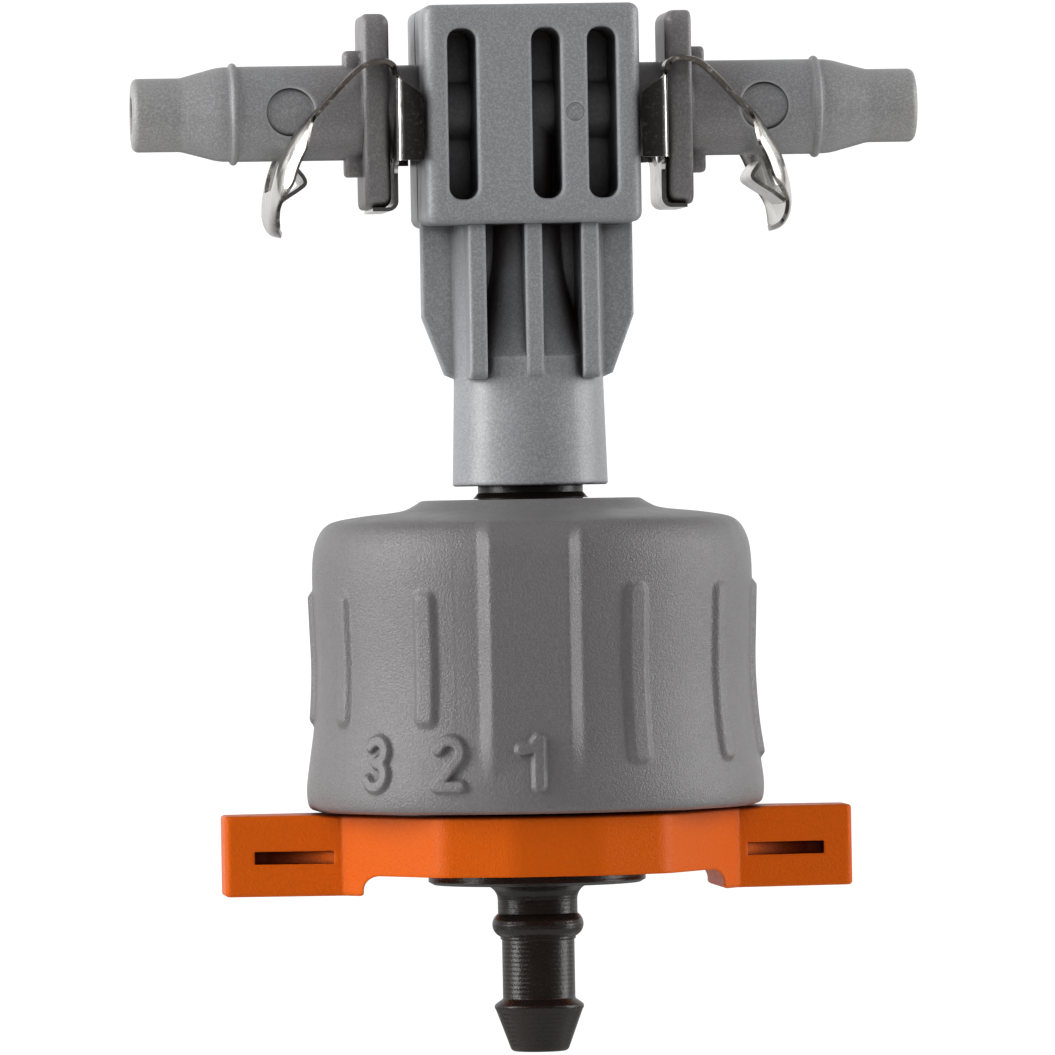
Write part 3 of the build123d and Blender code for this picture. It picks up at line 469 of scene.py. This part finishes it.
def finish_piece(build, name, body, slot, materials, node):
    """Turns a bmesh in millimetres into a piece that rides on a body and stands for a CAD node."""
    bmesh.ops.scale(build, vec=(MM, MM, MM), verts=build.verts)
    bmesh.ops.recalc_face_normals(build, faces=build.faces)
    mesh = bpy.data.meshes.new(name)
    build.to_mesh(mesh)
    build.free()
    mesh.materials.append(materials[slot])
    mesh.shade_smooth()
    piece = bpy.data.objects.new(name, mesh)
    bpy.context.scene.collection.objects.link(piece)
    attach(piece, body)
    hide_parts(node)
    return piece


# ------------------------------------------------------------------ knob
# The flat panel on the knob's side: direction in degrees, reach from the axis, most height over the side,
# half width, width of each flank, the z where it ends and how far below that it fades, its rounding, and
# the degrees to each side that it stays within
PANEL_ANGLE = -96.2
PANEL_REACH = 14.98
PANEL_PROUD = 0.42
PANEL_HALF = 2.6
PANEL_FLANK = 1.0
PANEL_END = 35.3
PANEL_FADE = 1.2
PANEL_BLEND = 0.05
PANEL_DEGREES = 20
# The grip bars: angles from the panel, lowest and highest z, half width, height, rounded corners, sloping
# flanks, and the degrees to each side that they stay within
FIRST_BAR = 28.3
BAR_STEP = 30.0
BARS_A_SIDE = 5
SHORT_BAR = (22.1, 30.75)
LONG_BAR = (19.5, 31.1)
BAR_HALF = 0.72
BAR_PROUD = 0.34
BAR_CORNER = 0.5
BAR_RAMP = 0.55
BAR_DEGREES = 6
# The digits: degrees between them, z of their middles, their strokes' half width, slope and height, and how
# far from their middles they stay within, across and up
DIGIT_STEP = 21.2
DIGIT_Z = 19.6
DIGIT_HALF_STROKE = 0.52
DIGIT_FLANK = 0.26
DIGIT_PROUD = 0.36
DIGIT_ACROSS = 1.8
DIGIT_UP = 2.2
# Strokes of 1, 2 and 3, about each digit's middle
DIGITS = [
    [[(0.45, -1.5), (0.45, 1.5)], [(0.42, 1.45), (0.1, 1.0), (-0.65, 0.85)]],
    [arc((0, 0.72), 0.78, 165, -38, 12) + [(-0.8, -1.5), (0.85, -1.5)]],
    [arc((-0.1, 0.78), 0.72, 150, -90, 10), arc((-0.1, -0.74), 0.8, 90, -155, 12)],
]

# Distances from the axis and z, from the rim up the side and in over the top
SKIRT = 15.2
KNOB_SIDE = smooth_path([
    (14.55, KNOB_BOTTOM), (15.02, KNOB_BOTTOM + 0.2), (SKIRT, KNOB_BOTTOM + 0.7), (15.22, 18.0),
    (14.98, 19.8), (14.66, 22.2), (14.48, 25.5), (14.58, 29.0), (14.66, 31.8), (14.54, 33.5),
    (14.22, 34.5), (13.75, 35.15), (13.0, 35.52), (11.2, 35.82), (9.2, 36.03), (8.35, 36.2),
    (7.75, 36.5), (7.35, KNOB_TOP - 0.06), (6.9, KNOB_TOP), (5.2, KNOB_TOP)], count=7)
# Distances from the axis of the bore, the wall's inside, and where bars, panel and digits may start, and
# the z of the ceiling inside
KNOB_BORE = 3.56
KNOB_WALL_INSIDE = 13.1
KNOB_SHAPED_FROM = 13
KNOB_CEILING = 33.4
# Degrees between columns: 0.12 mm along the side at bars and flanks, then at digits and between them all,
# and the closest that two may stand
FINE_COLUMN = 0.12 / 14.7 * 57.3
DIGIT_COLUMN = 0.34
WIDE_COLUMN = 1.8
CLOSEST_COLUMN = 0.28
# Millimetres between rows at the digits and elsewhere
FINE_ROW = 0.1
WIDE_ROW = 0.3


def bars():
    """(angle from the panel, lowest z, highest z) of every grip bar: short ones on the digits' side."""
    offsets = [FIRST_BAR + BAR_STEP * k for k in range(BARS_A_SIDE)]
    short = [(-angle, *SHORT_BAR) for angle in offsets]
    long = [(angle, *LONG_BAR) for angle in offsets]
    return short + long + [(180.0, *LONG_BAR)]


def knob_column_angles():
    """Angles from the panel: close together at bars, panel flanks and digits, wide between them."""
    angles = set()
    for centre, _, _ in bars():
        angles.update(centre + FINE_COLUMN * k for k in range(-9, 10))
    edge = math.degrees(PANEL_HALF / SKIRT)
    for side in (-1, 1):
        angles.update(side * edge + side * FINE_COLUMN * k for k in range(-4, 13))
    for number in range(len(DIGITS)):
        angles.update(DIGIT_COLUMN * k - DIGIT_STEP * number for k in range(-18, 19))
    angles.update(WIDE_COLUMN * k for k in range(-100, 100))
    spaced = []
    for angle in sorted(a % 360 for a in angles):
        if not spaced or angle - spaced[-1] > CLOSEST_COLUMN:
            spaced.append(angle)
    return spaced


def knob_radius(plain, z, angle):
    """The knob's outer radius at a height and an angle from the panel: bars, panel and digits stand up."""
    turn = (angle + 180) % 360 - 180
    radius = plain
    for centre, low, high in bars():
        off = abs((turn - centre + 180) % 360 - 180)
        if off < BAR_DEGREES:
            across = math.radians(off) * plain
            dx = across - (BAR_HALF - BAR_CORNER)
            dz = abs(z - (low + high) / 2) - ((high - low) / 2 - BAR_CORNER)
            outside = math.hypot(max(dx, 0), max(dz, 0)) + min(max(dx, dz), 0) - BAR_CORNER
            radius = plain + BAR_PROUD * ease(0.5 - outside / BAR_RAMP)
    if abs(turn) < PANEL_DEGREES and KNOB_BOTTOM + 0.8 < z < PANEL_END + 0.3:
        fade = ease((PANEL_END - z) / PANEL_FADE)
        reach = plain + (min(PANEL_REACH, plain + PANEL_PROUD) - plain) * fade
        across = abs(math.tan(math.radians(turn))) * reach
        flat = reach / math.cos(math.radians(turn))
        rim = math.hypot(reach, PANEL_HALF)
        flank = rim - (across - PANEL_HALF) * (rim - plain + PANEL_BLEND) / PANEL_FLANK
        raised = flat - soft_positive(flat - flank, PANEL_BLEND)
        radius = radius + soft_positive(raised - radius, PANEL_BLEND)
    for number, strokes in enumerate(DIGITS):
        across = math.radians(turn + DIGIT_STEP * number) * plain
        if abs(across) < DIGIT_ACROSS and abs(z - DIGIT_Z) < DIGIT_UP:
            nearest = min(distance_to(stroke, across, z - DIGIT_Z) for stroke in strokes)
            radius += DIGIT_PROUD * ease((DIGIT_HALF_STROKE - nearest) / DIGIT_FLANK)
    return radius


def densify(line):
    """Adds points along the knob's side: close together at the digits, wider elsewhere."""
    dense = [line[0]]
    for start, end in zip(line, line[1:]):
        near = abs((start.y + end.y) / 2 - DIGIT_Z) < DIGIT_UP + 0.2
        longest = FINE_ROW if near else WIDE_ROW
        count = max(1, math.ceil((end - start).length / longest))
        dense.extend(start + (end - start) * (k + 1) / count for k in range(count))
    return dense


def make_knob(materials):
    """The knob as rings of points: out along its ceiling, down inside, up the side and into the bore."""
    side = densify(KNOB_SIDE)
    inside = [Vector((KNOB_BORE, KNOB_CEILING)), Vector((KNOB_WALL_INSIDE, KNOB_CEILING)),
              Vector((KNOB_WALL_INSIDE, KNOB_BOTTOM + 0.3))]
    inside += [Vector((13.3, KNOB_BOTTOM + 0.05)), Vector((14.2, KNOB_BOTTOM + 0.02))]
    top = [Vector((4.2, KNOB_TOP)), Vector((3.66, KNOB_TOP)), Vector((KNOB_BORE, KNOB_TOP - 0.12)),
           Vector((KNOB_BORE, 35.7))]
    build = bmesh.new()
    angles = knob_column_angles()
    grid = []
    for index, (radius, z) in enumerate(inside + side + top):
        shaped = 0 <= index - len(inside) < len(side) and radius > KNOB_SHAPED_FROM
        ring = []
        for angle in angles:
            reach = knob_radius(radius, z, angle) if shaped else radius
            turn = math.radians(PANEL_ANGLE + angle)
            ring.append(build.verts.new((reach * math.cos(turn), reach * math.sin(turn), z)))
        grid.append(ring)
    count = len(angles)
    for lower, upper in zip(grid, grid[1:] + grid[:1]):
        for k in range(count):
            following = (k + 1) % count
            build.faces.new((lower[k], lower[following], upper[following], upper[k]))
    finish_piece(build, "knob_shell", "knob", "knob_plastic", materials, "regulator_knob")


# ------------------------------------------------------------------ hose clips
# Heights here are from the hose line. The sheet's thickness and rounded rims, how far out the leg stands,
# half the clip's width, the folds' radius, the rails' inner edges, and the hinge
SHEET = 0.26
RIM_ROUND = 0.08
LEG_X = 8.9
CLIP_HALF = 6.35
FOLD = 0.4
RAIL_INNER = 3.85
HINGE_HEIGHT = 2.3
# The leg: its tabs' inner edge and lowest height, where its hook begins to curl, and the curl's radius
TAB_INNER = 7.25
TAB_LOW = -3.4
HOOK_HEIGHT = -6.0
HOOK_RADIUS = 0.55
# The arm: its rounded end, its web's corners, the dish along its edge (depth, width, how soon it rises and
# falls, how much it falls, how steep it is, and depth and width before it), and half the tongue's width
THUMB_LENGTH = 3.6
WEB_CORNER = 1.2
DISH_DEPTH = 1.05
DISH_BAND = 1.9
DISH_RISE = 2.6
DISH_FALL = 2.4
DISH_LOSS = 0.75
DISH_POWER = 2.1
PLAIN_DEPTH = 0.12
PLAIN_BAND = 0.4
TONGUE_HALF = 3.1
# Distance out from the middle and height, from the hinge over the top and down to the end
ARM_LINE = smooth_path([
    (LEG_X, HINGE_HEIGHT), (9.08, 2.85), (9.6, 3.2), (10.4, 3.16), (11.3, 2.86), (12.5, 1.78),
    (13.5, 0.7), (14.4, -0.25), (15.2, -1.1), (15.95, -2.1), (16.55, -3.3), (16.98, -4.7),
    (17.22, -6.2), (17.24, -7.2), (17.02, -7.95), (16.6, -8.4)], count=6)
# The tongue, from the web's end inward and up to its tip
TONGUE_LINE = smooth_path([
    (17.05, -6.35), (16.3, -5.75), (15.3, -5.1), (14.92, -4.75), (15.02, -4.35), (15.5, -3.75)], count=5)


class Bend:
    """A sheet's middle line: a point and its normal at any distance along it."""

    def __init__(self, line):
        self.line = [Vector(p) for p in line]
        self.reach = [0.0]
        for start, end in zip(self.line, self.line[1:]):
            self.reach.append(self.reach[-1] + (end - start).length)

    def at(self, distance):
        """The point and the normal at a distance along the line."""
        last = len(self.line) - 2
        k = next((i for i in range(last + 1) if distance <= self.reach[i + 1]), last)
        start, end = self.line[k], self.line[k + 1]
        span = max(self.reach[k + 1] - self.reach[k], 1e-9)
        along = (distance - self.reach[k]) / span
        before = self.line[max(k - 1, 0)]
        after = self.line[min(k + 2, len(self.line) - 1)]
        tangent = ((end - before) * (1 - along) + (after - start) * along).normalized()
        return start + (end - start) * along, Vector((-tangent.y, tangent.x))

    def distance_at_height(self, height):
        """How far along the line it first comes down to a height, past its top."""
        top = max(range(len(self.line)), key=lambda k: self.line[k].y)
        k = next(k for k in range(top, len(self.line)) if self.line[k].y <= height)
        return self.reach[k]


def slice_sheet(build, axis, places):
    """Cuts a flat sheet along lines across one axis."""
    normal = Vector((1 - axis, axis, 0))
    for place in places:
        bmesh.ops.bisect_plane(build, geom=build.verts[:] + build.edges[:] + build.faces[:],
                               plane_co=normal * place, plane_no=normal)


def flat_sheet(outline):
    """A flat mesh of one closed outline, ready to be cut and bent."""
    build = bmesh.new()
    build.faces.new([build.verts.new((x, y, 0)) for x, y in outline])
    return build


def evenly(start, end, size):
    """Evenly spaced places from start to end, about a size apart."""
    count = max(1, round((end - start) / size))
    return [start + (end - start) * k / count for k in range(count + 1)]


def sheet_piece(builds, name, body, materials, node):
    """Joins bent sheets into one piece and gives them thickness and rounded rims."""
    whole = bmesh.new()
    for build in builds:
        part = bpy.data.meshes.new("sheet")
        build.to_mesh(part)
        build.free()
        whole.from_mesh(part)
        bpy.data.meshes.remove(part)
    piece = finish_piece(whole, name, body, "clip_steel", materials, node)
    thick = piece.modifiers.new("thickness", "SOLIDIFY")
    thick.thickness = SHEET * MM
    thick.offset = 0
    rim = piece.modifiers.new("rims", "BEVEL")
    rim.width = RIM_ROUND * MM
    rim.segments = 2
    rim.limit_method = "ANGLE"
    rim.angle_limit = math.radians(50)
    rim.harden_normals = True


def make_clip_frame(side, label, materials):
    """The leg of a clip: two rails and tabs round the window, a lower tongue, and its hook."""
    flat_end = CLIP_HALF - FOLD
    fold = FOLD * math.pi / 2
    tab = (LEG_X - FOLD) - TAB_INNER
    edge = flat_end + fold + tab
    rail_top = HINGE_HEIGHT - 0.12
    right = [(3.5, -7.9), (3.5, -4.4)] + arc((4.4, TAB_LOW - 1.0), 0.9, 180, 90, 5)[1:-1]
    right += [(4.6, TAB_LOW), (edge, TAB_LOW)]
    right += [(edge, 0.85), (edge - 0.35, 1.15), (flat_end + fold * 0.6, 1.95), (flat_end, rail_top)]
    right += [(RAIL_INNER, rail_top)]
    window = arc((0, 0), RAIL_INNER, 0, -180, 24)
    left = [(-y, z) for y, z in reversed(right)]
    build = flat_sheet(right + window + left[1:])
    folds = evenly(flat_end, flat_end + fold, 0.08)
    slice_sheet(build, 0, [sign * v for sign in (-1, 1) for v in folds])
    slice_sheet(build, 1, evenly(-7.8, -5.7, 0.1))
    quarter = HOOK_RADIUS * math.pi / 2
    stain = build.verts.layers.float.new("tarnish")
    for vert in build.verts:
        across, height = vert.co.x, vert.co.y
        beyond = max(abs(across) - flat_end, 0)
        vert[stain] = ease((beyond - fold * 0.8) / 0.2)
        turn = min(beyond / FOLD, math.pi / 2)
        rest = max(beyond - fold, 0)
        x = LEG_X - FOLD * (1 - math.cos(turn)) - rest
        y = math.copysign(min(abs(across), flat_end) + FOLD * math.sin(turn), across)
        below = max(HOOK_HEIGHT - height, 0)
        curl = min(below / HOOK_RADIUS, math.pi / 2)
        lip = max(below - quarter, 0)
        x += HOOK_RADIUS * (1 - math.cos(curl)) + lip
        z = max(height, HOOK_HEIGHT) - HOOK_RADIUS * math.sin(curl)
        vert.co = (side * x, y, HOSE_Z + z)
    sheet_piece([build], f"{label}_clip_leg", "tee", materials, f"{label}_clip_frame")


def make_clip_arm(side, label, materials):
    """The arm of a clip: rails over the hose line, a web dished like a spoon, and the tongue."""
    bend = Bend(ARM_LINE)
    end = bend.reach[-1]
    dish_start = bend.distance_at_height(-0.1)
    dish_fade = bend.distance_at_height(-4.0)
    window_end = bend.distance_at_height(-5.2)
    round_start = end - THUMB_LENGTH

    def from_edge(distance, across):
        """How far inside the outline a place is: a strip with half an ellipse at its end."""
        along = max(distance - round_start, 0) / THUMB_LENGTH
        return CLIP_HALF * (1 - math.hypot(along, across / CLIP_HALF))

    def dish(distance, across):
        """How far the sheet is pressed inward: most along its edge, halfway down."""
        start = ease((distance - dish_start) / DISH_RISE)
        rise = start * (1 - DISH_LOSS * ease((distance - dish_fade) / DISH_FALL))
        depth = PLAIN_DEPTH + (DISH_DEPTH - PLAIN_DEPTH) * rise
        band = PLAIN_BAND + (DISH_BAND - PLAIN_BAND) * start
        return depth * max(1 - from_edge(distance, across) / band, 0) ** DISH_POWER

    tip = arc((0, 0), 1, 90, 0, 20)[1:]
    outer = [(0, CLIP_HALF), (round_start, CLIP_HALF)]
    outer += [(round_start + THUMB_LENGTH * x, CLIP_HALF * y) for x, y in tip]
    back = [(x, -y) for x, y in reversed(outer[:-1])]
    window = [(0, -RAIL_INNER), (window_end - WEB_CORNER, -RAIL_INNER)]
    window += arc((window_end - WEB_CORNER, -RAIL_INNER + WEB_CORNER), WEB_CORNER, -90, 0, 6)[1:]
    window += [(x, -y) for x, y in reversed(window)]
    build = flat_sheet(outer + back + window)
    bands = evenly(CLIP_HALF - DISH_BAND, CLIP_HALF - 0.08, 0.13)
    slice_sheet(build, 1, [sign * v for sign in (-1, 1) for v in bands])
    slice_sheet(build, 1, evenly(DISH_BAND - CLIP_HALF, CLIP_HALF - DISH_BAND, 0.6)[1:-1])
    slice_sheet(build, 0, evenly(0.12, end - 0.1, 0.16))
    stain = build.verts.layers.float.new("tarnish")
    for vert in build.verts:
        distance, across = vert.co.x, vert.co.y
        outline = ease((0.2 - from_edge(distance, across)) / 0.1)
        vert[stain] = max(1 - ease((distance - dish_start) / 2.2), 0.8 * outline)
        point, normal = bend.at(min(max(distance, 0), end))
        place = point - normal * dish(distance, across)
        vert.co = (side * place.x, across, HOSE_Z + place.y)

    line = Bend(TONGUE_LINE)
    length = line.reach[-1]
    tongue = flat_sheet([(0, -TONGUE_HALF), (length, -TONGUE_HALF), (length, TONGUE_HALF), (0, TONGUE_HALF)])
    slice_sheet(tongue, 0, evenly(0.1, length - 0.1, 0.14))
    tongue.verts.layers.float.new("tarnish")
    for vert in tongue.verts:
        point, _ = line.at(vert.co.x)
        vert.co = (side * point.x, vert.co.y, HOSE_Z + point.y)
    sheet_piece([build, tongue], f"{label}_clip_lever", f"{label}_arm", materials, f"{label}_clip_arm")


# ------------------------------------------------------------------ the scene
bpy.context.scene.view_settings.view_transform = "Standard"
make_camera()
make_world()
make_studio()
materials = make_materials()
dress_nodes(materials)
make_knob(materials)
for side, label in ((-1, "left"), (1, "right")):
    make_clip_frame(side, label, materials)
    make_clip_arm(side, label, materials)
